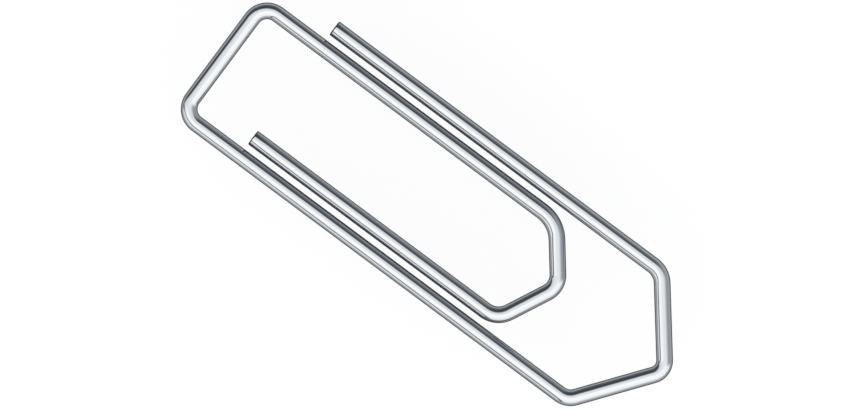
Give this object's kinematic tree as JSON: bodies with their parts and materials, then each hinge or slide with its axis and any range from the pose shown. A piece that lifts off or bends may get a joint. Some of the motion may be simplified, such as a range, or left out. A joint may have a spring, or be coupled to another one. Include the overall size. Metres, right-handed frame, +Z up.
{
  "type": "paper clip",
  "caption": "Flat pointed paper clip of bright round wire with a square back; its inner tongue springs out of the outer loop to grip sheets slid in from the pointed end.",
  "frame": {"origin": "on the surface that the clip lies on, at the middle of its overall length and width", "axes": "+X from the square back towards the points, +Y from the long leg towards the outer free leg, +Z up"},
  "size_m": [0.033, 0.0104, 0.001],
  "materials": {
    "plated_wire": "polished"
  },
  "bodies": {
    "outer_loop": {"outer_loop": "plated_wire"},
    "outer_free_leg": {"outer_free_leg": "plated_wire"},
    "tongue": {"tongue": "plated_wire"},
    "inner_free_leg": {"inner_free_leg": "plated_wire"}
  },
  "joints": [
    {"name": "tongue_spring", "type": "hinge", "parent": "outer_loop", "child": "tongue", "pos_m": [-0.016, -0.00068, 0.0005], "axis": [0, -1, 0], "range_deg": [-10, 10], "stiffness_Nm_per_rad": 0.35},
    {"name": "outer_leg_spring", "type": "hinge", "parent": "outer_loop", "child": "outer_free_leg", "pos_m": [0.01438, 0.00242, 0.0005], "axis": [-0.6225, 0.7826, 0], "range_deg": [-10, 10], "stiffness_Nm_per_rad": 0.24},
    {"name": "inner_leg_spring", "type": "hinge", "parent": "tongue", "child": "inner_free_leg", "pos_m": [0.00725, -0.00147, 0.0005], "axis": [0.4384, 0.8988, 0], "range_deg": [-6, 6], "stiffness_Nm_per_rad": 0.48}
  ]
}
